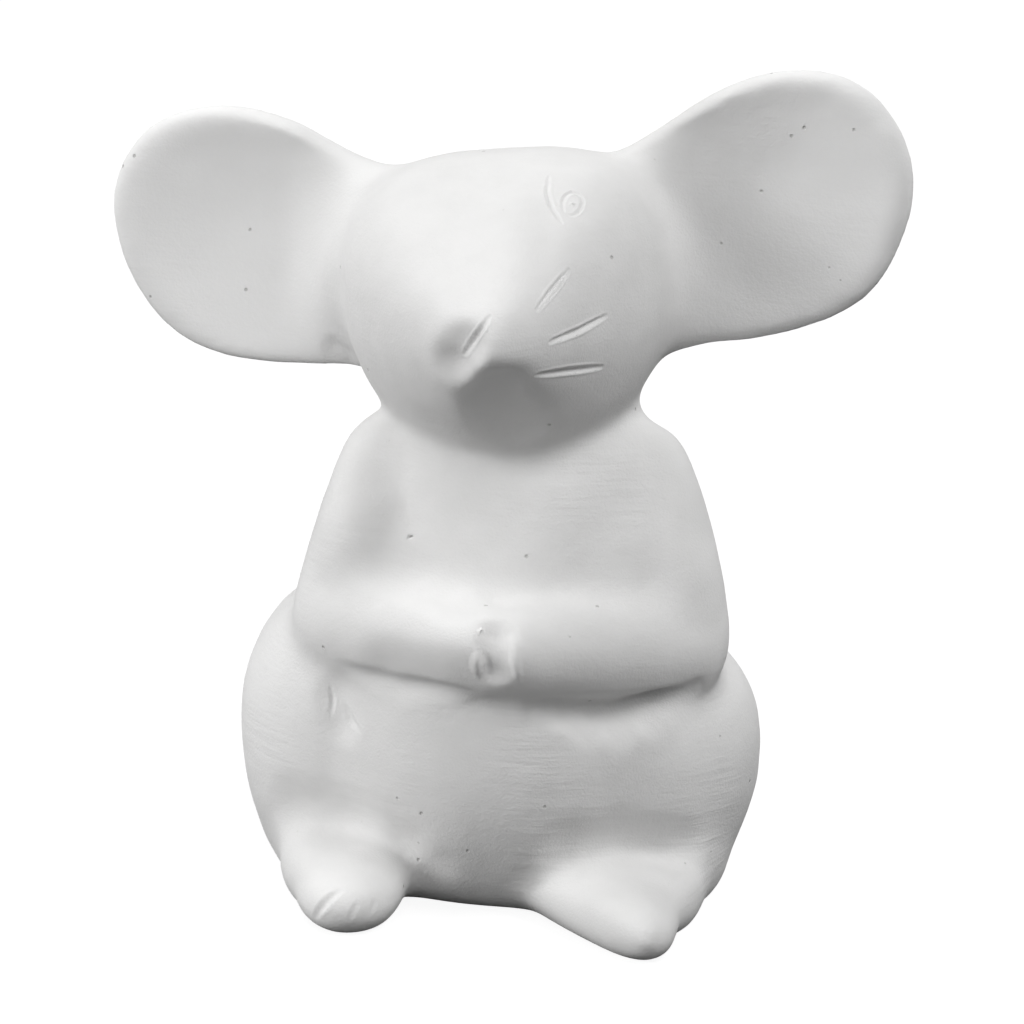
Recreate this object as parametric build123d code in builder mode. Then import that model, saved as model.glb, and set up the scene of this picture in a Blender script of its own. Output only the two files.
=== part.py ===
"""A seated mouse ornament in bisque-fired earthenware, built up from slip-cast pieces.

Body and head are hollow castings. The ears, arms, feet and tail are solid castings, each
trimmed to the form it sits on and stuck down with slip, so every pair meets face to face.
Millimetres, +Z up, the mouse faces -Y, and the origin is on the flat base.
"""

import os
from math import cos, pi, sin

from build123d import *

os.makedirs("parts", exist_ok=True)

# Body casting: a torso with a haunch on each side
body_height = 52
torso_half_width = 20
belly_depth = 20
back_depth = 19
haunch_half_width = 14.5
haunch_half_depth = 14.5
haunch_offset = 12
haunch_back = 1
left_haunch_height = 30.5
right_haunch_height = 27.5
body_wall = 3
drain_radius = 4.5
drain_back = 8

# Head casting, on an axis from the back of the skull to the nose
head_rise = 7.5
head_shift = 2.5
head_half_width = 16.5
crown_height = 14.3
jaw_depth = 16.5
skull_length = 15
snout_length = 27
head_wall = 3
head_yaw = 8
head_tilt = 9.4

# Neck joint: a collar under the head goes through the seat on top of the body, into its hollow
collar_radius = 6
collar_wall = 2.4
collar_proud = 1.5

# Ears: dished plates with a rounded rim, swept back from the head
ear_reach = 40.6
ear_height = 21.5
ear_thickness = 4
ear_dish_depth = 2.2
ear_back = 1.5
ear_sweep = 3
ear_droop = 2.8

# Arms: an upper arm and a forearm that meet at the elbow, placed from the torso
left_elbow_inset = 3.3
right_elbow_inset = 2.8
elbow_forward = 6.8
elbow_drop = 25.2
shoulder_inset = 8
shoulder_forward = 1
shoulder_drop = 5.5
upper_arm_radius = 5.3
forearm_radius = 5.5
paw_proud = 0.2
paw_drop = 24
paw_meeting = 1.6

# Feet, placed from the haunches
foot_length = 21.5
left_foot_half_width = 6
right_foot_half_width = 9.2
foot_height = 5.6
foot_middle_height = 2.4
left_toe_proud = 13.8
left_toe_outset = 2.3
left_foot_splay = 3
right_toe_proud = 15.3
right_toe_outset = 4.4
right_foot_splay = 18

# Tail: lies on the ground round the back of the right haunch
tail_root_radius = 2.9
tail_tip_radius = 1.2
tail_turn_offset = 4
tail_turn_forward = 1
tail_proud = 0.5
tail_root_angle = 112
tail_tip_angle = 30

# Facets round a section of a large form, of a hollow or an ear, and of a limb
body_facets = 40
hollow_facets = 24
limb_facets = 28
tail_facets = 16

# Sections: place along the form, half width, depth to the front or height above the axis,
# depth to the back or depth below the axis, as shares of the form's sizes
torso_shares = [
    (0, 0.875, 0.7, 0.82), (0.035, 0.92, 0.79, 0.885), (0.08, 0.96, 0.87, 0.94),
    (0.14, 0.985, 0.945, 0.985), (0.21, 1, 0.995, 1.015), (0.29, 1.005, 1.015, 1.025),
    (0.37, 0.985, 0.995, 1.01), (0.45, 0.955, 0.94, 0.97), (0.53, 0.925, 0.87, 0.91),
    (0.61, 0.895, 0.8, 0.845), (0.69, 0.855, 0.735, 0.765), (0.76, 0.805, 0.67, 0.685),
    (0.83, 0.74, 0.595, 0.595), (0.89, 0.66, 0.51, 0.505), (0.95, 0.54, 0.4, 0.39),
    (1, 0.37, 0.26, 0.26),
]
haunch_shares = [
    (0, 0.725, 0.72, 0.72), (0.07, 0.8, 0.8, 0.8), (0.17, 0.885, 0.89, 0.89),
    (0.28, 0.95, 0.95, 0.95), (0.4, 0.99, 0.99, 0.99), (0.54, 1, 1, 1),
    (0.65, 0.965, 0.965, 0.965), (0.75, 0.885, 0.88, 0.88), (0.84, 0.765, 0.75, 0.75),
    (0.92, 0.58, 0.56, 0.56), (0.97, 0.38, 0.36, 0.36), (1, 0.12, 0.12, 0.12),
]
skull_shares = [
    (-1, 0.1, 0.1, 0.1), (-0.97, 0.26, 0.27, 0.26), (-0.9, 0.44, 0.47, 0.44),
    (-0.79, 0.63, 0.66, 0.63), (-0.63, 0.79, 0.82, 0.79), (-0.42, 0.915, 0.93, 0.91),
    (-0.18, 0.98, 0.985, 0.98),
]
snout_shares = [
    (0.04, 1, 1, 1), (0.15, 0.975, 0.965, 0.99), (0.26, 0.915, 0.895, 0.94),
    (0.37, 0.825, 0.795, 0.86), (0.48, 0.72, 0.685, 0.75), (0.59, 0.61, 0.57, 0.63),
    (0.69, 0.5, 0.465, 0.505), (0.78, 0.4, 0.37, 0.39), (0.86, 0.31, 0.29, 0.29),
    (0.93, 0.22, 0.21, 0.2), (0.98, 0.12, 0.12, 0.11), (1, 0.04, 0.04, 0.04),
]
upper_arm_shares = [
    (-0.28, 0.15), (-0.25, 0.42), (-0.19, 0.68), (-0.1, 0.88), (0.03, 1), (0.25, 1.03),
    (0.48, 1), (0.68, 0.91), (0.84, 0.76), (0.96, 0.54), (1.02, 0.22),
]
forearm_shares = [
    (-0.18, 0.15), (-0.16, 0.42), (-0.12, 0.68), (-0.04, 0.9), (0.08, 1.03), (0.3, 1.05),
    (0.55, 1), (0.78, 0.91), (0.95, 0.8), (1.05, 0.62), (1.11, 0.38), (1.13, 0.12),
]

# Feet, the left one round and the right one a wedge: place from toe to heel, width, height
left_foot_shares = [
    (0, 0.08, 0.1), (0.011, 0.24, 0.3), (0.035, 0.43, 0.5), (0.08, 0.61, 0.68),
    (0.14, 0.76, 0.82), (0.22, 0.87, 0.92), (0.33, 0.94, 0.98), (0.46, 0.98, 1),
    (0.62, 1, 1), (0.78, 1, 0.98), (0.9, 0.97, 0.94), (1, 0.9, 0.88),
]
right_foot_shares = [
    (0, 0.05, 0.1), (0.011, 0.13, 0.3), (0.035, 0.21, 0.5), (0.08, 0.3, 0.68),
    (0.14, 0.39, 0.82), (0.22, 0.48, 0.92), (0.33, 0.58, 0.98), (0.46, 0.7, 1),
    (0.62, 0.83, 1), (0.78, 0.94, 0.98), (0.9, 0.99, 0.94), (1, 1, 0.88),
]

# Outline of an ear: reach from the middle of the head, and height
ear_outline_shares = [
    (0.1, 0.44), (0.26, 0.62), (0.41, 0.79), (0.53, 0.92), (0.7, 1), (0.86, 0.943),
    (0.97, 0.72), (1, 0.44), (0.96, 0.14), (0.865, -0.11), (0.765, -0.21), (0.57, -0.29),
    (0.4, -0.35), (0.1, -0.38),
]
ear_middle_share = (0.45, 0.3)

# An ear in depth: place through its thickness or its dish, then size of the outline
ear_rim_shares = [
    (-1, 0.8), (-0.93, 0.88), (-0.78, 0.95), (-0.55, 0.99), (-0.33, 1), (-0.14, 0.985),
    (-0.03, 0.955), (0, 0.93),
]
ear_dish_shares = [
    (0.1, 0.93), (0, 0.91), (-0.14, 0.85), (-0.31, 0.76), (-0.5, 0.64), (-0.7, 0.49),
    (-0.87, 0.32), (-0.98, 0.12),
]
tail_shares = (0, 0.17, 0.34, 0.51, 0.68, 0.84, 1)
crown_squareness_share = 3.2
foot_sole_share = 1.4

# Where the hollow of a casting starts and ends along its axis
body_hollow_shares = (0.08, 0.76)
head_hollow_shares = (-0.79, 0.69)


def section(plane, half_width, above, below, facets, squareness=2):
    """Points round an oval section, with its own heights above and below its middle."""
    points = []
    for step in range(facets):
        angle = 2 * pi * step / facets
        across, up = cos(angle), sin(angle)
        power = 2 / squareness if up > 0 else 1
        x = half_width * (1 if across > 0 else -1) * abs(across) ** power
        y = above * up**power if up > 0 else below * up
        points.append(plane.from_local_coords((x, y, 0)))
    return points


def torso_section(shares, inset=0, facets=body_facets):
    """Section of the torso at one height, or of its hollow, an inset inside it."""
    height, width, front, back = shares
    level = Plane.XY.offset(height * body_height)
    return section(
        level, width * torso_half_width - inset, back * back_depth - inset,
        front * belly_depth - inset, facets,
    )


def head_section(shares, inset=0, facets=body_facets):
    """Section of the head at one place on its axis, or of its hollow."""
    place, width, above, below = shares
    reach = place * (skull_length if place < 0 else snout_length)
    return section(
        head_plane.offset(reach), width * head_half_width - inset,
        above * crown_height - inset, below * jaw_depth - inset, facets,
        crown_squareness_share,
    )


def limb_section(start, end, shares, radius):
    """Section of a limb that runs from one joint to the next."""
    place, size = shares
    level = Plane(start + (end - start) * place, z_dir=end - start)
    return section(level, size * radius, size * radius, size * radius, limb_facets)


def within(table, limits):
    """The sections of a table that lie inside a hollow."""
    return [shares for shares in table if limits[0] <= shares[0] <= limits[1]]


# The head's own directions: it turns and tilts towards the figure's right shoulder
head_lift = body_height + head_rise
head_middle = Vector(-head_shift, 0, head_lift)
head_forward = Vector(0, -1, 0).rotate(Axis.Z, -head_yaw)
head_side = Vector(1, 0, 0).rotate(Axis.Z, -head_yaw)
head_side = head_side.rotate(Axis((0, 0, 0), head_forward), head_tilt)
head_up = head_forward.cross(head_side)
head_plane = Plane(head_middle, x_dir=head_side, z_dir=head_forward)

# Outer forms, each whole, before the pieces are trimmed to one another
with BuildPart() as body_form:
    points = []
    for shares in torso_shares:
        points += torso_section(shares)
    ConvexPolyhedron(points)
    for side, haunch_height in ((-1, left_haunch_height), (1, right_haunch_height)):
        points = []
        for height, width, front, back in haunch_shares:
            level = Plane((side * haunch_offset, haunch_back, height * haunch_height))
            points += section(
                level, width * haunch_half_width, back * haunch_half_depth,
                front * haunch_half_depth, body_facets,
            )
        ConvexPolyhedron(points)

with BuildPart() as head_form:
    points = []
    for shares in skull_shares + snout_shares:
        points += head_section(shares)
    ConvexPolyhedron(points)

# Neck collar, on an upright axis through the middle of the head
collar_bottom = body_height * body_hollow_shares[1] - collar_proud
collar_foot = Plane((-head_shift, 0, collar_bottom))
with BuildPart() as neck_form:
    add(head_form.part)
    with BuildSketch(collar_foot):
        Circle(collar_radius)
    extrude(amount=head_lift - collar_bottom)

with BuildPart() as head_shell:
    add(neck_form.part)
    points = []
    for shares in within(skull_shares + snout_shares, head_hollow_shares):
        points += head_section(shares, head_wall, hollow_facets)
    ConvexPolyhedron(points, mode=Mode.SUBTRACT)
    with BuildSketch(collar_foot):
        Circle(collar_radius - collar_wall)
    extrude(amount=head_lift - collar_bottom, mode=Mode.SUBTRACT)

with BuildPart() as body_shell:
    add(body_form.part)
    add(neck_form.part, mode=Mode.SUBTRACT)
    points = []
    for shares in within(torso_shares, body_hollow_shares):
        points += torso_section(shares, body_wall, hollow_facets)
    ConvexPolyhedron(points, mode=Mode.SUBTRACT)
    with BuildSketch(Plane((0, drain_back, 0))):
        Circle(drain_radius)
    extrude(amount=body_height * body_hollow_shares[0] + body_wall, mode=Mode.SUBTRACT)

# Ears: the outline of the ear in several sizes through its thickness
ear_side = head_side.rotate(Axis((0, 0, 0), head_up), ear_sweep)
ear_front = head_forward.rotate(Axis((0, 0, 0), head_up), ear_sweep)
ear_side = ear_side.rotate(Axis((0, 0, 0), ear_front), -ear_droop)
ear_plane = Plane(head_middle - head_forward * ear_back, x_dir=ear_side, z_dir=ear_front)
ear_middle = Vector(ear_middle_share[0] * ear_reach, ear_middle_share[1] * ear_height)
with BuildLine(mode=Mode.PRIVATE) as ear_outline:
    Spline(*[(reach * ear_reach, up * ear_height) for reach, up in ear_outline_shares])


def ear_section(place, size, facets):
    """The outline of the ear at one depth, in a size of its own."""
    level = ear_plane.offset(place)
    points = [ear_outline.line @ (step / facets) for step in range(facets + 1)]
    return [level.from_local_coords(ear_middle + (p - ear_middle) * size) for p in points]


with BuildPart() as ear_form:
    points = []
    for place, size in ear_rim_shares:
        points += ear_section(place * ear_thickness, size, body_facets)
    ConvexPolyhedron(points)
    points = []
    for place, size in ear_dish_shares:
        points += ear_section(place * ear_dish_depth, size, body_facets)
    ConvexPolyhedron(points, mode=Mode.SUBTRACT)

with BuildPart() as right_ear:
    add(ear_form.part)
    add(head_form.part, mode=Mode.SUBTRACT)

with BuildPart() as left_ear:
    add(mirror(ear_form.part, about=Plane(head_middle, z_dir=head_side)))
    add(head_form.part, mode=Mode.SUBTRACT)

# Arms: trimmed to the body, under the head, and cut flat where the paws meet
arms = {}
for side, name, elbow_inset in (
    (-1, "left_arm", left_elbow_inset), (1, "right_arm", right_elbow_inset),
):
    elbow = Vector(
        side * (torso_half_width - elbow_inset), -elbow_forward, body_height - elbow_drop,
    )
    shoulder = Vector(
        side * (torso_half_width - shoulder_inset), -shoulder_forward, body_height - shoulder_drop,
    )
    paw = Vector(-paw_meeting, -belly_depth - paw_proud, body_height - paw_drop)
    with BuildPart() as arm:
        points = []
        for shares in upper_arm_shares:
            points += limb_section(elbow, shoulder, shares, upper_arm_radius)
        ConvexPolyhedron(points)
        points = []
        for shares in forearm_shares:
            points += limb_section(elbow, paw, shares, forearm_radius)
        ConvexPolyhedron(points)
        split(bisect_by=Plane(paw, z_dir=(side, 0, 0)))
        add(body_form.part, mode=Mode.SUBTRACT)
        add(neck_form.part, mode=Mode.SUBTRACT)
    arms[name] = arm

# Feet: half egg forms that stand flat, with the heel cut to the body
feet = {}
for name, side, table, half_width, outset, proud, splay in (
    (
        "left_foot", -1, left_foot_shares, left_foot_half_width, left_toe_outset,
        left_toe_proud, left_foot_splay,
    ),
    (
        "right_foot", 1, right_foot_shares, right_foot_half_width, right_toe_outset,
        right_toe_proud, right_foot_splay,
    ),
):
    heelward = Vector(0, 1, 0).rotate(Axis.Z, side * splay)
    place = Vector(side * (haunch_offset + outset), haunch_back - haunch_half_depth - proud)
    toe = Plane(place + Vector(0, 0, foot_middle_height), x_dir=(1, 0, 0), z_dir=heelward)
    with BuildPart() as foot:
        points = []
        for share, width, height in table:
            level = toe.offset(share * foot_length)
            points += section(
                level, width * half_width, height * foot_sole_share * foot_middle_height,
                height * (foot_height - foot_middle_height), limb_facets,
            )
        ConvexPolyhedron(points)
        split(bisect_by=Plane.XY)
        add(body_form.part, mode=Mode.SUBTRACT)
    feet[name] = foot

# Tail: a tapering roll on the ground, round the back of the haunch
with BuildPart() as tail:
    turn = Vector(tail_turn_offset, -tail_turn_forward, 0)
    turn_radius = back_depth + tail_proud
    rings = []
    for share in tail_shares:
        angle = tail_root_angle + (tail_tip_angle - tail_root_angle) * share
        radius = tail_root_radius + (tail_tip_radius - tail_root_radius) * share
        outward = Vector(1, 0, 0).rotate(Axis.Z, angle)
        middle = turn + outward * turn_radius + Vector(0, 0, radius)
        level = Plane(middle, x_dir=outward, z_dir=outward.cross(Vector(0, 0, 1)))
        rings.append(section(level, radius, radius, radius, tail_facets))
    for start, end in zip(rings, rings[1:]):
        ConvexPolyhedron(start + end)
    add(body_form.part, mode=Mode.SUBTRACT)

pieces = {
    "body_shell": body_shell, "head_shell": head_shell, "left_ear": left_ear,
    "right_ear": right_ear, **arms, **feet, "tail": tail,
}
for name, piece in pieces.items():
    piece.part.label = name
    export_step(piece.part, f"parts/{name}.step")
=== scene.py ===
from math import cos, pi, radians, sin

import bmesh
import bpy
import numpy as np
from mathutils import Matrix, Vector, noise
from mathutils.bvhtree import BVHTree
from mathutils.kdtree import KDTree


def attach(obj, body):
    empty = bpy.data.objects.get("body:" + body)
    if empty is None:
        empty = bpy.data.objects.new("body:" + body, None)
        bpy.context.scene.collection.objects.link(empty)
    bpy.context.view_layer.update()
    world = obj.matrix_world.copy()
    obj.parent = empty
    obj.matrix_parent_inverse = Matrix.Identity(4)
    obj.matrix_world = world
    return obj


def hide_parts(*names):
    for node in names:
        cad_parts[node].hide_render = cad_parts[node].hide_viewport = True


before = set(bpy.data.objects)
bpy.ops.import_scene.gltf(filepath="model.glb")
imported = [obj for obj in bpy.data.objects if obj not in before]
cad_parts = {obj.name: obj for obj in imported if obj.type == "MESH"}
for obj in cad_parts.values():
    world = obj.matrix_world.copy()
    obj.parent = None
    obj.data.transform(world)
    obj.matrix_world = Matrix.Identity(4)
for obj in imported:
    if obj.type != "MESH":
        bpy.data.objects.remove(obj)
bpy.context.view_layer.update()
mm = 0.001

# Camera
# A long lens from straight ahead, 15 degrees above the ground, turned a little about its own axis
# because the figure stands a few degrees off plumb in the picture.
picture_width = 1024
picture_scale = 10 / mm
camera_target = Vector((-0.54, -0.76, 37.2)) * mm
camera_distance = 600 * mm
camera_elevation = radians(15)
camera_roll = radians(4.3)
film_width = 36

view_out = Vector((0, -cos(camera_elevation), sin(camera_elevation)))
level_up = Vector((0, sin(camera_elevation), cos(camera_elevation)))
view_right = Vector((1, 0, 0)) * cos(camera_roll) + level_up * sin(camera_roll)
view_up = level_up * cos(camera_roll) - Vector((1, 0, 0)) * sin(camera_roll)
camera_place = camera_target + view_out * camera_distance
camera_data = bpy.data.cameras.new("camera")
camera_data.sensor_width = film_width
camera_data.lens = film_width * camera_distance * picture_scale / picture_width
camera = bpy.data.objects.new("camera", camera_data)
camera.matrix_world = Matrix.Translation(camera_place) @ Matrix(
    (view_right, view_up, view_out)
).transposed().to_4x4()
bpy.context.scene.collection.objects.link(camera)
bpy.context.scene.camera = camera


# Studio
# A plain white sweep under five soft lamps: at the left, above the camera, overhead at the right,
# and two weaker ones for the crown and the back. Only what the camera sees of the sweep is lifted
# to white, so its shadow stays.
floor_reach = 1500 * mm
floor_colour = (0.14, 0.14, 0.14, 1)
floor_lift = 0.9
sky_strength = 0.02
lamp_size = 500 * mm

bpy.ops.object.select_all(action="DESELECT")
bpy.ops.mesh.primitive_plane_add(size=2 * floor_reach)
floor = bpy.context.object
floor.name = "floor"
paint = bpy.data.materials.new("floor_paper")
paint.use_nodes = True
nodes, links = paint.node_tree.nodes, paint.node_tree.links
nodes["Principled BSDF"].inputs["Base Color"].default_value = floor_colour
nodes["Principled BSDF"].inputs["Roughness"].default_value = 1
nodes["Principled BSDF"].inputs["Emission Color"].default_value = (1, 1, 1, 1)
seen = nodes.new("ShaderNodeLightPath")
lift = nodes.new("ShaderNodeMath")
lift.operation = "MULTIPLY"
lift.inputs[1].default_value = floor_lift
links.new(seen.outputs["Is Camera Ray"], lift.inputs[0])
links.new(lift.outputs[0], nodes["Principled BSDF"].inputs["Emission Strength"])
floor.data.materials.append(paint)

world = bpy.data.worlds.new("sky")
world.use_nodes = True
bpy.context.scene.world = world
nodes, links = world.node_tree.nodes, world.node_tree.links
nodes["Background"].inputs["Color"].default_value = (1, 1, 1, 1)
seen = nodes.new("ShaderNodeLightPath")
shown = nodes.new("ShaderNodeMapRange")
shown.inputs["To Min"].default_value = sky_strength
shown.inputs["To Max"].default_value = 1
links.new(seen.outputs["Is Camera Ray"], shown.inputs["Value"])
links.new(shown.outputs["Result"], nodes["Background"].inputs["Strength"])

for name, place, power in (
    ("side_lamp", (-0.95, -0.3, 0.35), 7.0),
    ("front_lamp", (0.05, -0.85, 0.65), 3.3),
    ("top_lamp", (0.6, -0.2, 0.85), 5.8),
    ("crown_lamp", (-0.5, 0.3, 0.85), 2.4),
    ("rear_lamp", (0.35, 0.95, 0.55), 3.2),
):
    lamp_data = bpy.data.lights.new(name, "AREA")
    lamp_data.size = lamp_size
    lamp_data.energy = power
    lamp = bpy.data.objects.new(name, lamp_data)
    lamp.location = place
    lamp.rotation_euler = (camera_target - Vector(place)).to_track_quat("-Z", "Y").to_euler()
    bpy.context.scene.collection.objects.link(lamp)

bpy.context.scene.view_settings.view_transform = "Standard"


# The luted figure
# The nine castings are stuck together with slip while leather hard, wads of soft clay go into
# the deepest joints, and a wet sponge runs the clay over all of them. That soft skin is made here
# whole, over the castings' own forms, and the sections after this one cut each casting back out.
skin_grain = 0.36 * mm
plug_radius = 4.7 * mm
plug_height = 6 * mm
drain_place = (0, 8 * mm, 0)
joint_play = 0.03 * mm
ground_play = 0.01 * mm


def form_of(node):
    """A copy of a casting's own form, its loose triangles merged."""
    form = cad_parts[node].copy()
    form.data = form.data.copy()
    form.parent = None
    bpy.context.scene.collection.objects.link(form)
    mesh = bmesh.new()
    mesh.from_mesh(form.data)
    bmesh.ops.remove_doubles(mesh, verts=mesh.verts, dist=0.002 * mm)
    mesh.to_mesh(form.data)
    mesh.free()
    return form


def wad(place, half_sizes, turn=(0, 0, 0)):
    """A rounded wad of soft clay, in millimetres and degrees."""
    bpy.ops.mesh.primitive_uv_sphere_add(
        segments=32, ring_count=20, radius=mm, location=Vector(place) * mm,
        rotation=[radians(angle) for angle in turn], scale=half_sizes,
    )
    return bpy.context.object


def finish_with(piece, kind, **settings):
    """Gives a piece a modifier with these settings and applies it."""
    modifier = piece.modifiers.new(kind, kind)
    for name, value in settings.items():
        setattr(modifier, name, value)
    bpy.context.view_layer.objects.active = piece
    bpy.ops.object.modifier_apply(modifier=modifier.name)


def joined(*pieces):
    """Several pieces as one object at the origin."""
    bpy.ops.object.select_all(action="DESELECT")
    for piece in pieces:
        piece.select_set(True)
    bpy.context.view_layer.objects.active = pieces[0]
    bpy.ops.object.join()
    bpy.ops.object.transform_apply(location=True, rotation=True, scale=True)
    return pieces[0]


def points(piece, kind="vertices"):
    """All places of a mesh, or its normals, as an array."""
    items = getattr(piece.data, kind)
    values = np.empty(len(items) * 3, np.float32)
    items.foreach_get("vector" if kind == "vertex_normals" else "co", values)
    return values.reshape(-1, 3).astype(float)


def move_to(piece, places):
    """Moves the vertices of a piece."""
    piece.data.vertices.foreach_set("co", places.astype(np.float32).ravel())
    piece.data.update()


def soft_step(values, low, high):
    """0 below low, 1 above high, and a soft slope between."""
    share = np.clip((values - low) / (high - low), 0, 1)
    return share * share * (3 - 2 * share)


def sponge(clay, strokes, share=1.0, only_fill=False):
    """Wipes the clay soft. With only_fill, slip runs into the hollows and no edge wears down."""
    before, outward = points(clay), points(clay, "vertex_normals")
    finish_with(clay, "SMOOTH", factor=0.5, iterations=strokes)
    moved = points(clay) - before
    share = np.broadcast_to(share, len(before))
    if only_fill:
        share = share * (np.einsum("ij,ij->i", moved, outward) > 0)
    move_to(clay, before + moved * share[:, None])


def tree_of(places):
    """A tree that finds the nearest of some places."""
    tree = KDTree(len(places))
    for index, place in enumerate(places):
        tree.insert(place, index)
    tree.balance()
    return tree


def distance_to(clay, places, reach):
    """How far each vertex is from the nearest of some places, up to a reach."""
    spots = points(clay)
    near = np.all((spots > places.min(0) - reach) & (spots < places.max(0) + reach), axis=1)
    tree = tree_of(places)
    distances = np.full(len(spots), reach)
    distances[near] = [tree.find(spot)[2] for spot in spots[near]]
    return distances


def close_to(places, full, none):
    """How near the skin is to some places: 1 up to full and 0 from none, both in millimetres."""
    return 1 - soft_step(distance_to(skin, places, none * mm), full * mm, none * mm)


def touches(places, neighbours):
    """Which places lie on the surface of a neighbouring casting."""
    trees = [
        BVHTree.FromPolygons([v.co for v in mesh.vertices], [p.vertices for p in mesh.polygons])
        for mesh in (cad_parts[node].data for node in neighbours)
    ]
    return np.array([
        any(tree.find_nearest(Vector(place))[3] < joint_play for tree in trees) for place in places
    ])


def joint_of(node, *neighbours):
    """The places where a casting touches its neighbours."""
    places = points(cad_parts[node])
    return places[touches(places, neighbours)]


bpy.ops.mesh.primitive_cylinder_add(
    vertices=48, radius=plug_radius, depth=plug_height,
    location=(drain_place[0], drain_place[1], plug_height / 2),
)
plug = bpy.context.object
wads = (
    # between the ears and the cheeks
    wad((-18.0, 5.4, 61), (4.0, 5.2, 8.5), (0, 6, 0)),
    wad((13.0, 2.8, 62.5), (3.0, 4.4, 8.5), (0, -5, 0)),
    # between the feet and the haunches, at their outer sides
    wad((18.2, -13.0, 2.2), (3.3, 9.5, 3.4), (0, 0, -14)),
    wad((20.3, -3.2, 3.8), (3.6, 9.0, 5.2), (0, 0, -11)),
    wad((-18.0, -13, 2.2), (3.0, 9.5, 3.2), (0, 0, 12)),
    wad((-20.2, -3.5, 3.4), (2.2, 7.5, 4.6), (0, 0, 10)),
    # at the root of the tail
    wad((-5.0, 16.4, 2.6), (6.0, 2.9, 3.2), (0, 0, 20)),
)
skin = joined(plug, *wads, *[form_of(node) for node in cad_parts])
finish_with(skin, "REMESH", mode="VOXEL", voxel_size=skin_grain)
sponge(skin, 8)

# Broad forms lose the flats of the castings, and rims keep their shape
facets = points(skin, "vertex_normals")
before = points(skin)
sponge(skin, 120)
flatness = np.einsum("ij,ij->i", facets, points(skin, "vertex_normals"))
after = points(skin)
broad = soft_step(flatness, 0.9, 0.985)[:, None]
move_to(skin, before + (after - before) * broad)
sponge(skin, 6)

# Slip fills the joints: wide at the ears, upper arms and thighs, narrow at chin and forearms
neck = joint_of("head_shell", "body_shell")
arm_joints = np.concatenate([
    joint_of("left_arm", "body_shell", "right_arm"), joint_of("right_arm", "body_shell"),
])
forearms = arm_joints[arm_joints[:, 1] < -9.5 * mm]
insteps = np.concatenate([
    joint_of("left_foot", "body_shell"), joint_of("right_foot", "body_shell"),
])
insteps = insteps[insteps[:, 2] > 2 * mm]
crisp = np.clip(
    close_to(neck, 2, 7) + close_to(forearms, 2.5, 6) + 0.6 * close_to(insteps, 2, 5), 0, 1
)
sponge(skin, 420, 0.9 * (1 - crisp), only_fill=True)
sponge(skin, 50, 0.8, only_fill=True)

# The wads at the cheeks and at the sides of the soles are wiped level with what they join
cheeks = np.array(
    [(-18.6, 3.0, z) for z in range(53, 70)] + [(13.6, 0.5, z) for z in range(55, 72)]
)
soles = np.array([(side * 19.0, y, 1.5) for side in (-1, 1) for y in range(-20, 3)])
at_cheeks = close_to(cheeks * mm, 4, 9)
sponge(skin, 400, at_cheeks, only_fill=True)
sponge(skin, 200, at_cheeks)
sponge(skin, 90, close_to(soles * mm, 3, 7))
sponge(skin, 6)

# A wire levels the underside
wire_height = 0.3 * mm
worked_height = 4 * mm
bpy.ops.object.select_all(action="DESELECT")
bpy.ops.mesh.primitive_cube_add(size=200 * mm, location=(0, 0, wire_height - 100 * mm))
slab = bpy.context.object
finish_with(skin, "BOOLEAN", operation="DIFFERENCE", solver="MANIFOLD", object=slab)
bpy.data.objects.remove(slab)
place = points(skin)
low = place[:, 2] < worked_height
place[low, 2] = (place[low, 2] - wire_height) * worked_height / (worked_height - wire_height)
place[:, 2] = np.where(place[:, 2] < ground_play, 0, place[:, 2])
move_to(skin, place)

# Thumbs and a wooden tool shape the leather-hard clay. Each mark follows pixels of the photograph,
# with its width and depth in millimetres, and one of negative depth is clay laid on.
skin_tree = BVHTree.FromObject(skin, bpy.context.evaluated_depsgraph_get())
long_mark = 3.2


def seen_at(pixel):
    """The spot on the clay that shows at a pixel of the photograph, and the way out there."""
    across, down = pixel
    aim = (
        camera_target + view_right * (across - picture_width / 2) / picture_scale
        + view_up * (picture_width / 2 - down) / picture_scale
    )
    spot, outward, _, _ = skin_tree.ray_cast(camera_place, (aim - camera_place).normalized())
    return spot, outward


def traced(*pixels):
    """Spots along a line through pixels of the photograph, and the way out at each."""
    corners = np.array(pixels, float)
    runs = np.concatenate([[0], np.cumsum(np.hypot(*np.diff(corners, axis=0).T))])
    along = np.linspace(0, runs[-1], int(runs[-1] / 1.5) + 1)
    spots = [
        seen_at((np.interp(place, runs, corners[:, 0]), np.interp(place, runs, corners[:, 1])))
        for place in along
    ]
    spots = [(spot, out) for spot, out in spots if spot]
    path = np.array([spot for spot, _ in spots], float)
    outward = np.array([out for _, out in spots], float)
    for _ in range(4):
        for line in (path, outward):
            line[1:-1] = (line[:-2] + 2 * line[1:-1] + line[2:]) / 4
    return path, outward / np.linalg.norm(outward, axis=1, keepdims=True)


def pull(pixel, reach, across, down):
    """Pulls the clay round a spot, by so many millimetres to the right and down."""
    spot, _ = seen_at(pixel)
    places = points(skin)
    away = np.linalg.norm(places - np.array(spot), axis=1) / (reach * mm)
    share = (1 - np.clip(away, 0, 1) ** 2) ** 2
    move = np.array(view_right * across - view_up * down) * mm
    move_to(skin, places + share[:, None] * move)


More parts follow.
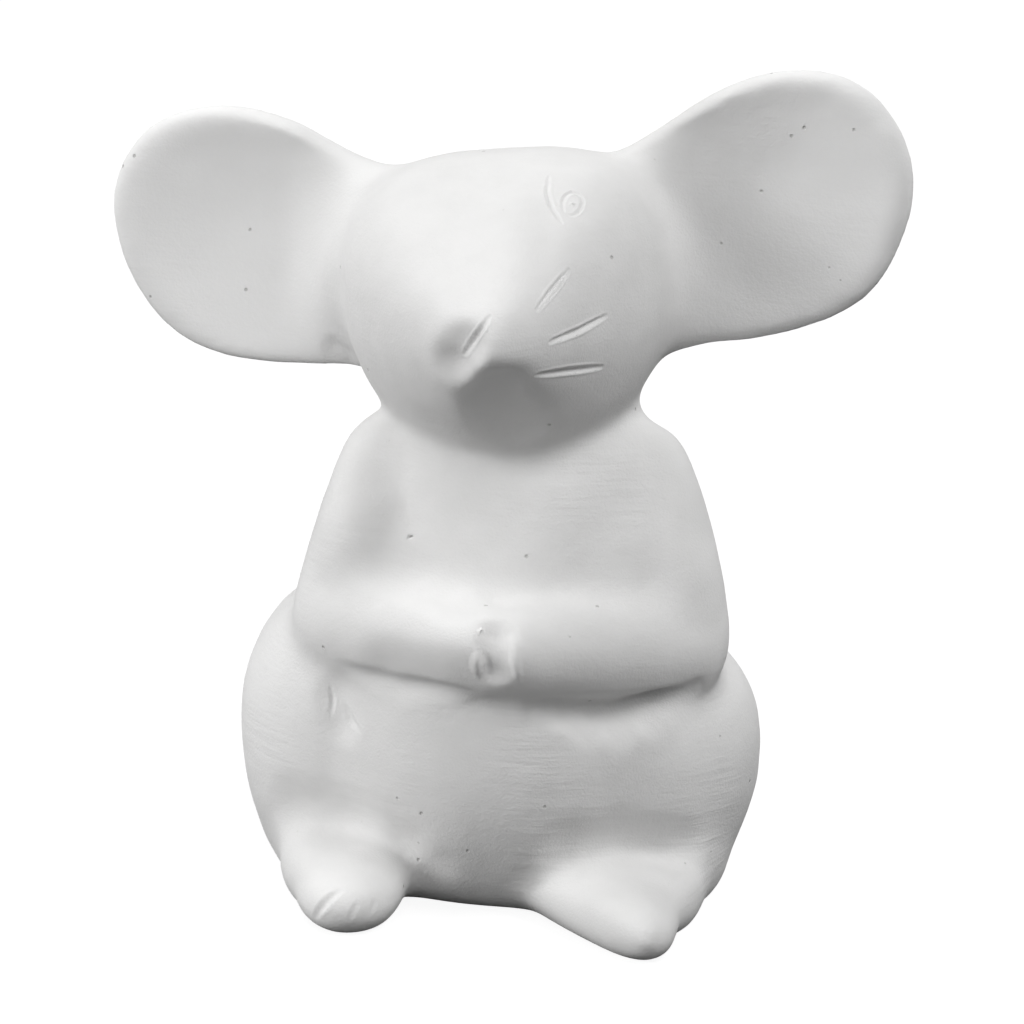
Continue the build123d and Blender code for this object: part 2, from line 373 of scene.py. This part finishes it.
def press(line, width, depth, lip=0.0, taper=0):
    """Draws a tool along a line and raises a lip beside it. A negative depth lays clay on."""
    path, outward = line
    width, depth, lip = width * mm, depth * mm, lip * mm
    weight = np.sin(pi * np.linspace(0.05, 0.95, len(path))) ** taper
    places, facing = points(skin), points(skin, "vertex_normals")
    reach = 1.9 * width
    near = np.flatnonzero(
        np.all((places > path.min(0) - reach) & (places < path.max(0) + reach), axis=1)
    )
    tree = tree_of(path)
    found = [tree.find(places[index]) for index in near]
    nearest = np.array([index for _, index, _ in found])
    away = np.array([distance for _, _, distance in found])
    away /= width * (0.65 + 0.35 * weight[nearest])
    bowl = (1 - np.clip(away, 0, 1) ** 2) ** 2
    ring = np.exp(-(((away - 1.2) / 0.3) ** 2))
    fronts = soft_step(np.einsum("ij,ij->i", facing[near], outward[nearest]), -0.3, 0.5)
    move = (lip * ring - depth * bowl) * weight[nearest] * fronts
    places[near] += outward[nearest] * move[:, None]
    move_to(skin, places)


# The tip of the muzzle is pulled over and down
pull((462, 346), reach=17, across=1.7, down=0.6)
skin_tree = BVHTree.FromObject(skin, bpy.context.evaluated_depsgraph_get())
for width, depth, *pixels in (
    # ridge of the muzzle, and the thumb hollows beside and under the nose
    (4.6, -0.6, (508, 215), (500, 262), (492, 312)),
    (3.2, 2.0, (459, 348), (450, 368)),
    (4.6, 1.4, (493, 391), (502, 410), (514, 430)),
    # under the root of the left ear
    (2.2, 0.5, (337, 350), (346, 356)),
    # above and under the forearms
    (3.6, 0.5, (380, 566), (420, 582), (462, 606)),
    (3.6, 0.3, (540, 596), (600, 582), (660, 574)),
    (2.6, 2.4, (540, 706), (580, 712), (620, 713), (650, 705), (690, 690)),
    (2.0, 0.7, (346, 668), (398, 689), (470, 694)),
    (4.2, 0.6, (386, 668), (424, 676), (458, 680)),
    # between the paws
    (2.4, 0.9, (497, 634), (496, 652), (494, 670)),
    # upper arms run into the chest
    (6.5, -0.8, (658, 440), (666, 480), (666, 510)),
    (6.5, -0.8, (358, 440), (346, 490), (342, 530)),
    (6.0, -1.1, (354, 522), (362, 546)),
    (6.0, -0.9, (366, 545), (376, 560)),
    (5.5, -0.9, (636, 562), (664, 566), (694, 578)),
    # thigh and belly above the feet
    (5.0, 0.8, (300, 812), (340, 822), (390, 836)),
    (4.0, 0.5, (408, 852), (424, 866)),
    (5.0, 0.9, (575, 850), (620, 846), (668, 852)),
    # the haunch runs into the belly
    (7.0, -0.9, (652, 735), (664, 800), (660, 850)),
    # a dent under the left elbow
    (3.2, 0.7, (338, 698), (343, 718)),
):
    # a long mark fades at both ends, and a short one is a round dab
    line = traced(*pixels)
    length = np.linalg.norm(np.diff(line[0], axis=0), axis=1).sum()
    press(line, width, depth, taper=0.8 if length > long_mark * width * mm else 0)

# The muzzle, the inner elbows and the belly under the right forearm are sponged once more
for strokes, full, none, *pixels in (
    (40, 4, 8, (470, 355), (455, 365), (490, 390), (505, 420)),
    (160, 2, 7, (358, 530), (368, 552), (620, 560), (642, 562), (668, 568), (692, 576)),
    (120, 1, 3, (590, 730), (620, 732), (650, 722), (676, 708)),
):
    sponge(skin, strokes, close_to(np.array([seen_at(pixel)[0] for pixel in pixels]), full, none))
sponge(skin, 4)

# Fingers leave the clay a little uneven, in wide waves and finer ones
wide_wave = 6.5 * mm
fine_wave = 2.4 * mm
places, outward = points(skin), points(skin, "vertex_normals")
waves = np.array([
    0.11 * noise.noise(Vector(place) / wide_wave) + 0.035 * noise.noise(Vector(place) / fine_wave)
    for place in places
])
above_ground = soft_step(places[:, 2], 0.2 * mm, 1.5 * mm)
move_to(skin, places + outward * (waves * above_ground * mm)[:, None])
places = points(skin)
places[:, 2] = np.maximum(places[:, 2], 0)
move_to(skin, places)

# The whole skin is kept until the end, for its unbroken run over the joints
skin_tree = BVHTree.FromObject(skin, bpy.context.evaluated_depsgraph_get())
whole = skin.copy()
whole.data = skin.data.copy()
whole.data.shade_smooth()
bpy.context.scene.collection.objects.link(whole)


# Cutting the castings out of the skin
# Each casting keeps the clay that lies over its own form, up to the faces where it was luted. They
# are cut out one by one, and fired white and matt, with the pores and scratches of the sponging.
cut_margin = 1.6 * mm
cutter_grain = 0.45 * mm
skin_play = 0.004 * mm
crease_angle = radians(50)


def cutter_for(node, *neighbours):
    """The room of one casting: its own form, let out wherever it touches no neighbour."""
    form = form_of(node)
    before, outward = points(form), points(form, "vertex_normals")
    free = ~touches(before, neighbours)
    move_to(form, before + outward * free[:, None] * cut_margin)
    finish_with(form, "REMESH", mode="VOXEL", voxel_size=cutter_grain)
    return form


def cut_out(name, cutter):
    """Cuts a casting out of the skin, and leaves the rest of the skin behind."""
    piece = skin.copy()
    piece.data = skin.data.copy()
    piece.name = name
    bpy.context.scene.collection.objects.link(piece)
    finish_with(piece, "BOOLEAN", operation="INTERSECT", solver="MANIFOLD", object=cutter)
    finish_with(skin, "BOOLEAN", operation="DIFFERENCE", solver="MANIFOLD", object=cutter)
    bpy.data.objects.remove(cutter)
    return piece


def laid(tree, kind, inputs=None, **settings):
    """Adds a shader node, its inputs fed by other nodes or set to plain values."""
    node = tree.nodes.new(kind)
    for name, value in settings.items():
        setattr(node, name, value)
    for name, value in (inputs or {}).items():
        if isinstance(value, bpy.types.NodeSocket):
            tree.links.new(value, node.inputs[name])
        else:
            node.inputs[name].default_value = value
    return node


def effect(name, output):
    """An empty shader effect for a place on the clay. The scales in it are counts per metre."""
    tree = bpy.data.node_groups.new(name, "ShaderNodeTree")
    tree.interface.new_socket("Place", in_out="INPUT", socket_type="NodeSocketVector")
    tree.interface.new_socket("Amount", in_out="INPUT", socket_type="NodeSocketFloat")
    tree.interface.new_socket(output, in_out="OUTPUT", socket_type="NodeSocketFloat")
    entry = tree.nodes.new("NodeGroupInput")
    return tree, entry.outputs["Place"], entry.outputs["Amount"], tree.nodes.new("NodeGroupOutput")


# Fine and coarse pores that a sponge leaves
sponge_grain, place, amount, out = effect("sponge_grain", "Height")
fine = laid(sponge_grain, "ShaderNodeTexNoise", {"Vector": place, "Scale": 4200, "Detail": 2})
coarse = laid(sponge_grain, "ShaderNodeTexNoise", {"Vector": place, "Scale": 1300, "Detail": 3})
both = laid(sponge_grain, "ShaderNodeMath", {0: fine.outputs[0], 1: coarse.outputs[0]})
scaled = laid(sponge_grain, "ShaderNodeMath", {
    0: both.outputs[0], 1: amount,
}, operation="MULTIPLY")
sponge_grain.links.new(scaled.outputs[0], out.inputs[0])

# Patches of level scratches that a damp brush leaves
brush_strokes, place, amount, out = effect("brush_strokes", "Height")
turned = laid(brush_strokes, "ShaderNodeMapping", {
    "Vector": place, "Rotation": (0, radians(5), 0), "Scale": (140, 140, 1500),
})
hairs = laid(brush_strokes, "ShaderNodeTexNoise", {
    "Vector": turned.outputs[0], "Scale": 1, "Detail": 2,
})
patches = laid(brush_strokes, "ShaderNodeTexNoise", {"Vector": place, "Scale": 75, "Detail": 1})
shown = laid(brush_strokes, "ShaderNodeMapRange", {
    "Value": patches.outputs[0], "From Min": 0.45, "From Max": 0.65,
}, interpolation_type="SMOOTHSTEP")
masked = laid(brush_strokes, "ShaderNodeMath", {
    0: hairs.outputs[0], 1: shown.outputs["Result"],
}, operation="MULTIPLY")
scaled = laid(brush_strokes, "ShaderNodeMath", {
    0: masked.outputs[0], 1: amount,
}, operation="MULTIPLY")
brush_strokes.links.new(scaled.outputs[0], out.inputs[0])

# Round pinholes where air bubbles burst in the slip, in some share of cells 1.2 mm wide. They are
# dented, and painted darker as painted shade inside the pits
pinholes, place, amount, out = effect("pinholes", "Mask")
cells = laid(pinholes, "ShaderNodeTexVoronoi", {"Vector": place, "Scale": 830})
lot = laid(pinholes, "ShaderNodeSeparateColor", {0: cells.outputs["Color"]})
holed = laid(pinholes, "ShaderNodeMath", {0: lot.outputs["Red"], 1: amount}, operation="LESS_THAN")
edge = laid(pinholes, "ShaderNodeMapRange", {
    "Value": cells.outputs["Distance"], "From Min": 0.08, "From Max": 0.2, "To Min": 1, "To Max": 0,
}, interpolation_type="SMOOTHSTEP")
mask = laid(pinholes, "ShaderNodeMath", {
    0: edge.outputs["Result"], 1: holed.outputs[0],
}, operation="MULTIPLY")
pinholes.links.new(mask.outputs[0], out.inputs[0])

# Cloudy tone of slip that dried unevenly
slip_cloud, place, amount, out = effect("slip_cloud", "Factor")
wide = laid(slip_cloud, "ShaderNodeTexNoise", {"Vector": place, "Scale": 60, "Detail": 2})
small = laid(slip_cloud, "ShaderNodeTexNoise", {"Vector": place, "Scale": 260, "Detail": 3})
both = laid(slip_cloud, "ShaderNodeMath", {0: wide.outputs[0], 1: small.outputs[0]})
centred = laid(slip_cloud, "ShaderNodeMath", {0: both.outputs[0], 1: 1.0}, operation="SUBTRACT")
scaled = laid(slip_cloud, "ShaderNodeMath", {
    0: centred.outputs[0], 1: amount, 2: 0.5,
}, operation="MULTIPLY_ADD")
slip_cloud.links.new(scaled.outputs[0], out.inputs[0])

# Painted highlight: the colour turns whiter out towards the sides, ears and haunches, where light
# falls
flank_painted_highlight, place, amount, out = effect("flank_painted_highlight", "Factor")
axes = laid(flank_painted_highlight, "ShaderNodeSeparateXYZ", {0: place})
aside = laid(flank_painted_highlight, "ShaderNodeMath", {0: axes.outputs["X"]}, operation="ABSOLUTE")
outward = laid(flank_painted_highlight, "ShaderNodeMapRange", {
    "Value": aside.outputs[0], "From Min": 12 * mm, "From Max": 30 * mm,
}, interpolation_type="SMOOTHSTEP")
scaled = laid(flank_painted_highlight, "ShaderNodeMath", {
    0: outward.outputs["Result"], 1: amount,
}, operation="MULTIPLY")
flank_painted_highlight.links.new(scaled.outputs[0], out.inputs[0])

clay_light = (0.815, 0.812, 0.808, 1)
clay_dark = (0.737, 0.735, 0.73, 1)
# the whiter colour of the painted highlight on the outer sides
clay_painted_highlight = (0.89, 0.888, 0.884, 1)
# the darker colour of the painted shade inside the pinholes
pit_painted_shade = (0.58, 0.575, 0.565, 1)
painted_highlight_share = 0.9
matt_least, matt_most = 0.84, 0.95
relief = 0.1 * mm


def bisque(name, grain, strokes, pits, cloud):
    """White fired clay, with its own amounts of the effects."""
    clay = bpy.data.materials.new(name)
    clay.use_nodes = True
    tree = clay.node_tree
    surface = tree.nodes["Principled BSDF"]
    place = laid(tree, "ShaderNodeTexCoord").outputs["Object"]
    pores, scratches, holes, tone, flank_highlight = (
        laid(
            tree, "ShaderNodeGroup", {"Place": place, "Amount": amount}, node_tree=group,
        ).outputs[0]
        for group, amount in (
            (sponge_grain, grain), (brush_strokes, strokes), (pinholes, pits), (slip_cloud, cloud),
            (flank_painted_highlight, painted_highlight_share),
        )
    )
    colour = clay_dark
    # The clay's own cloudy tone, then a painted highlight on the outer sides and painted shade in
    # the pinholes
    for share, other in ((tone, clay_light), (flank_highlight, clay_painted_highlight), (holes, pit_painted_shade)):
        colour = laid(
            tree, "ShaderNodeMix", {0: share, 6: colour, 7: other}, data_type="RGBA",
        ).outputs[2]
    tree.links.new(colour, surface.inputs["Base Color"])
    matt = laid(tree, "ShaderNodeMapRange", {
        "Value": pores, "From Min": 0.7 * grain, "From Max": 1.3 * grain,
        "To Min": matt_least, "To Max": matt_most,
    })
    tree.links.new(matt.outputs["Result"], surface.inputs["Roughness"])
    raised = laid(tree, "ShaderNodeMath", {0: pores, 1: scratches})
    height = laid(tree, "ShaderNodeMath", {0: raised.outputs[0], 1: holes}, operation="SUBTRACT")
    bump = laid(tree, "ShaderNodeBump", {"Height": height.outputs[0], "Distance": relief})
    tree.links.new(bump.outputs["Normal"], surface.inputs["Normal"])
    return clay


def brush_off(piece):
    """Takes away the crumbs that the cuts left loose beside a casting."""
    mesh = bmesh.new()
    mesh.from_mesh(piece.data)
    lumps, found = [], set()
    for first in mesh.verts:
        if first in found:
            continue
        lump, ahead = {first}, [first]
        while ahead:
            corner = ahead.pop()
            for edge in corner.link_edges:
                other = edge.other_vert(corner)
                if other not in lump:
                    lump.add(other)
                    ahead.append(other)
        found |= lump
        lumps.append(lump)
    lumps.sort(key=len)
    crumbs = [corner for lump in lumps[:-1] for corner in lump]
    if crumbs:
        bmesh.ops.delete(mesh, geom=crumbs, context="VERTS")
        mesh.to_mesh(piece.data)
    mesh.free()


def fire(piece, node, clay):
    """Shades a finished casting, gives it its clay and puts it in the place of its node."""
    brush_off(piece)
    bpy.ops.object.select_all(action="DESELECT")
    piece.select_set(True)
    bpy.context.view_layer.objects.active = piece
    bpy.ops.object.shade_smooth_by_angle(angle=crease_angle)
    outer = piece.vertex_groups.new(name="outer")
    outer.add([
        index for index, place in enumerate(points(piece))
        if skin_tree.find_nearest(Vector(place))[3] < skin_play and place[2] > ground_play
    ], 1, "REPLACE")
    finish_with(
        piece, "DATA_TRANSFER", object=whole, use_loop_data=True,
        data_types_loops={"CUSTOM_NORMAL"}, loop_mapping="POLYINTERP_NEAREST",
        vertex_group="outer",
    )
    piece.data.materials.clear()
    piece.data.materials.append(clay)
    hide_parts(node)
    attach(piece, "root")


def work_fine(spots, reach):
    """Parts the clay finer near some spots, so that a narrow tool mark has enough of it."""
    near = distance_to(skin, spots, reach * mm) < reach * mm
    mesh = bmesh.new()
    mesh.from_mesh(skin.data)
    edges = [e for e in mesh.edges if near[e.verts[0].index] and near[e.verts[1].index]]
    bmesh.ops.subdivide_edges(mesh, edges=edges, cuts=1, use_grid_fill=True)
    mesh.to_mesh(skin.data)
    mesh.free()
    soft = 1 - soft_step(distance_to(skin, spots, reach * mm), 0.5 * reach * mm, 0.9 * reach * mm)
    sponge(skin, 3, soft)


def scribe(marks, *reaches, taper=1):
    """Draws narrow tool marks, each with its width, depth, lip and line, and gives their spots."""
    spots = np.concatenate([path for _, _, _, (path, _) in marks])
    for reach in reaches:
        work_fine(spots, reach)
    for width, depth, lip, line in marks:
        press(line, width, depth, lip, taper)
    return spots


# Ears
# Two thick solid slabs of clay, pressed in a mould with a dished front and a rounded rim. Each is
# scored and stuck to the side of the head with slip, and its root is wiped over with a sponge.
ear_clay = bisque("ear_bisque", grain=0.34, strokes=0.35, pits=0.035, cloud=0.9)
left_ear = cut_out("left_ear_clay", cutter_for("left_ear", "head_shell"))
fire(left_ear, "left_ear", ear_clay)
right_ear = cut_out("right_ear_clay", cutter_for("right_ear", "head_shell"))
fire(right_ear, "right_ear", ear_clay)

# Arms
# Solid castings of the upper arm, forearm and paw in one. They are luted to the flanks and to the
# chest, where the paws meet, and the ridges of the paws are drawn with a thin tool.
limb_clay = bisque("limb_bisque", grain=0.36, strokes=0.45, pits=0.02, cloud=0.9)
scribe([
    (0.8, -0.4, 0.0, traced((477, 650), (476, 662), (478, 676))),
    (0.8, -0.3, 0.0, traced((512, 636), (515, 660), (519, 682))),
    (0.6, -0.4, 0.0, traced((478, 630), (482, 632))),
    (0.5, 0.15, 0.0, traced((486, 652), (489, 664), (489, 680))),
], 3.2)
left_arm = cut_out(
    "left_arm_clay", cutter_for("left_arm", "body_shell", "head_shell", "right_arm"),
)
fire(left_arm, "left_arm", limb_clay)
right_arm = cut_out(
    "right_arm_clay", cutter_for("right_arm", "body_shell", "head_shell", "left_arm"),
)
fire(right_arm, "right_arm", limb_clay)

# Feet
# Solid castings under the front of the haunches, the left short and round, the right long and
# splayed. They are luted to the body in line with its base, and the toe lines are pressed in.
scribe([
    (0.65, 0.34, 0.06, traced((341, 890), (330, 898), (321, 908), (315, 918))),
    (0.5, 0.12, 0.02, traced((358, 902), (353, 912), (351, 920))),
    (0.5, 0.1, 0.02, traced((376, 898), (373, 908), (370, 915))),
], 3.0)
left_foot = cut_out("left_foot_clay", cutter_for("left_foot", "body_shell"))
fire(left_foot, "left_foot", limb_clay)
right_foot = cut_out("right_foot_clay", cutter_for("right_foot", "body_shell"))
fire(right_foot, "right_foot", limb_clay)

# Tail
# A solid taper of clay, rolled by hand. It lies on the ground at the back and is luted to the
# base of the body along its length.
tail = cut_out("tail_clay", cutter_for("tail", "body_shell"))
fire(tail, "tail", limb_clay)

# Head
# The hollow casting of skull and snout, luted to its seat between the shoulders. The eye, the
# creases at the nose and the whisker grooves are cut with a needle while it is leather hard.
collar_top = 43.5 * mm
ear_root_room = (60, 40, 31)
ear_root_centre = (0, 5, 65)

# The room of the head is cut without the collar, which lies inside the body
head_form = form_of("head_shell")
mesh = bmesh.new()
mesh.from_mesh(head_form.data)
low = [v for v in mesh.verts if v.co.z < collar_top]
bmesh.ops.delete(mesh, geom=low, context="VERTS")
hull = bmesh.ops.convex_hull(mesh, input=mesh.verts)
spare = hull["geom_interior"] + hull["geom_unused"]
inside = [part for part in spare if isinstance(part, bmesh.types.BMVert)]
bmesh.ops.delete(mesh, geom=inside, context="VERTS")
mesh.to_mesh(head_form.data)
mesh.free()
before, outward = points(head_form), points(head_form, "vertex_normals")
free = ~touches(before, ["body_shell"])
move_to(head_form, before + outward * free[:, None] * cut_margin)

# All clay that is left above the shoulders is the head's, with the wads at the ear roots
bpy.ops.object.select_all(action="DESELECT")
bpy.ops.mesh.primitive_cube_add(
    size=mm, location=Vector(ear_root_centre) * mm, scale=ear_root_room,
)
head_form = joined(head_form, bpy.context.object)
finish_with(head_form, "REMESH", mode="VOXEL", voxel_size=cutter_grain)

spots = scribe([
    # whisker grooves, and the creases at the nose
    (0.42, 0.36, 0.07, traced((537, 310), (552, 291), (569, 270))),
    (0.42, 0.3, 0.07, traced((550, 342), (578, 331), (606, 316))),
    (0.46, 0.34, 0.07, traced((537, 375), (565, 371), (602, 367))),
    (0.46, 0.34, 0.07, traced((465, 354), (477, 336), (489, 317))),
    # eye
    (0.36, 0.2, 0.04, traced((549, 176), (547, 192), (551, 207), (562, 223))),
    (0.32, 0.14, 0.04, traced(
        (564, 213), (562, 204), (565, 196), (572, 192), (580, 195), (583, 203), (580, 211),
        (573, 216), (566, 214),
    )),
    (0.4, -0.16, 0.0, traced((571, 202), (573, 206))),
], 3.0, 1.5, taper=0.7)
sponge(skin, 3, close_to(spots, 0.9, 1.4))
head = cut_out("head_clay", head_form)
head_clay = bisque("head_bisque", grain=0.34, strokes=0.4, pits=0.015, cloud=0.9)
fire(head, "head_shell", head_clay)

# Body
# The hollow casting of the torso, both haunches and the flat base, which all else is luted to. Its
# drain hole lets the slip out after casting and the gases out in the kiln.
drain_radius = 4.5 * mm
drain_depth = 14 * mm
wiped_radii = (5.9 * mm, 4.3 * mm)
wiped_depth = 1.6 * mm
hollow_radii = (15 * mm, 9 * mm)
hollow_height = 34 * mm
hollow_place = (0, 1 * mm, 21.5 * mm)
hollow_round = 3 * mm

# A burr and a pit on the chest, and tool marks under the left elbow
scribe([
    (0.4, -0.35, 0.0, traced((405, 522), (407, 524))),
    (0.4, 0.4, 0.08, traced((410, 535), (411, 538))),
    (0.4, 0.2, 0.04, traced((330, 684), (333, 700), (331, 716))),
    (0.5, 0.22, 0.04, traced((345, 704), (350, 718), (360, 732))),
], 2.2)
body = skin
body.name = "body_clay"

# The casting is hollow, and its drain hole has a wiped edge
bpy.ops.object.select_all(action="DESELECT")
bpy.ops.mesh.primitive_cylinder_add(
    vertices=72, radius=drain_radius, depth=drain_depth, location=drain_place,
)
body_cutters = [bpy.context.object]
for (wide, narrow), height, location in (
    (wiped_radii, wiped_depth, drain_place), (hollow_radii, hollow_height, hollow_place),
):
    bpy.ops.mesh.primitive_cone_add(
        vertices=72, radius1=wide, radius2=narrow, depth=height, location=location,
    )
    body_cutters.append(bpy.context.object)
finish_with(body_cutters[-1], "BEVEL", width=hollow_round, segments=4)
for cutter in body_cutters:
    bpy.ops.object.select_all(action="DESELECT")
    cutter.select_set(True)
    bpy.context.view_layer.objects.active = cutter
    bpy.ops.object.transform_apply(location=True, rotation=True, scale=True)
for cutter in body_cutters:
    finish_with(body, "BOOLEAN", operation="DIFFERENCE", solver="MANIFOLD", object=cutter)
    bpy.data.objects.remove(cutter)
body_clay = bisque("body_bisque", grain=0.4, strokes=0.9, pits=0.03, cloud=1.0)
fire(body, "body_shell", body_clay)
bpy.data.objects.remove(whole)
